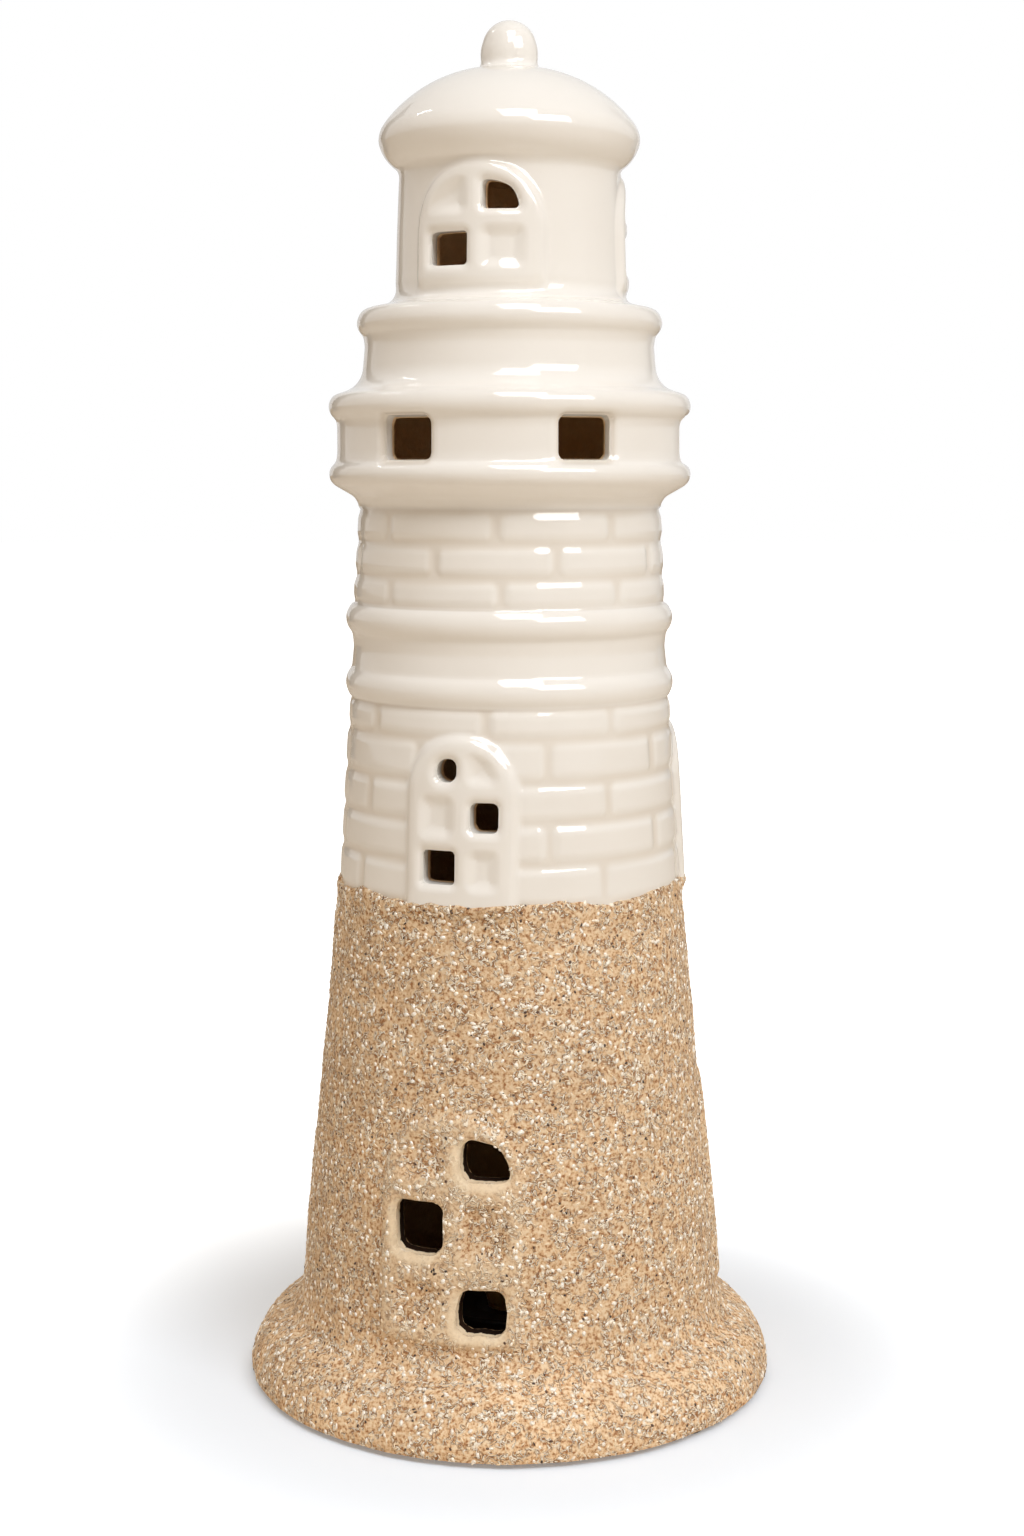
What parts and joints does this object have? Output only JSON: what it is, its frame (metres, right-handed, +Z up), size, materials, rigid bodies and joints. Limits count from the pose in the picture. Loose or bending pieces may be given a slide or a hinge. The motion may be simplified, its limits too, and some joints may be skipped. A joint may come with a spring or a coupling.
{
  "type": "lighthouse figurine",
  "caption": "Pierced ceramic lighthouse with a glazed brick shaft, domed lantern room and sand-coated flared foot, standing over a flameless tealight.",
  "frame": {"origin": "centre of the footprint, on the surface that the felt pads stand on", "axes": "+Z up the tower; -Y is the front, where one column of windows faces, a little to the left; +X to the right"},
  "size_m": [0.1192, 0.1192, 0.3],
  "materials": {
    "cream_glaze": "thick glossy cream glaze",
    "bare_clay": "unglazed fired clay",
    "sand": "bonded sand with pale grains",
    "felt": "pressed felt",
    "lamp_plastic": "moulded, fine matt grain",
    "flame_plastic": "translucent, frosted",
    "led_epoxy": "clear amber",
    "contact_metal": "stamped strip",
    "cell_steel": "drawn can",
    "screw_steel": "plated",
    "switch_plastic": "moulded, smooth"
  },
  "bodies": {
    "tealight": {"tealight_housing": "lamp_plastic", "flame_tip": "flame_plastic", "led_lamp": "led_epoxy", "negative_contact": "contact_metal", "positive_contact": "contact_metal", "coin_cell": "cell_steel", "base_plate": "lamp_plastic", "base_screws": "screw_steel"},
    "tower": {"finial": "cream_glaze", "roof_dome": "cream_glaze", "lantern_room": "cream_glaze", "watch_room": "cream_glaze", "gallery": "cream_glaze", "tower_shaft": "cream_glaze", "tower_base": "bare_clay", "sand_coat": "sand", "felt_pads": "felt"},
    "battery_door": {"battery_door": "lamp_plastic"},
    "switch": {"switch_slider": "switch_plastic"}
  },
  "joints": [
    {"name": "tower_lift", "type": "slide", "parent": "tealight", "child": "tower", "axis": [0, 0, 1], "range_m": [0, 0.06]},
    {"name": "door_slide", "type": "slide", "parent": "tealight", "child": "battery_door", "axis": [-1, 0, 0], "range_m": [0, 0.024]},
    {"name": "switch_slide", "type": "slide", "parent": "tealight", "child": "switch", "axis": [0, 1, 0], "range_m": [0, 0.003]}
  ]
}
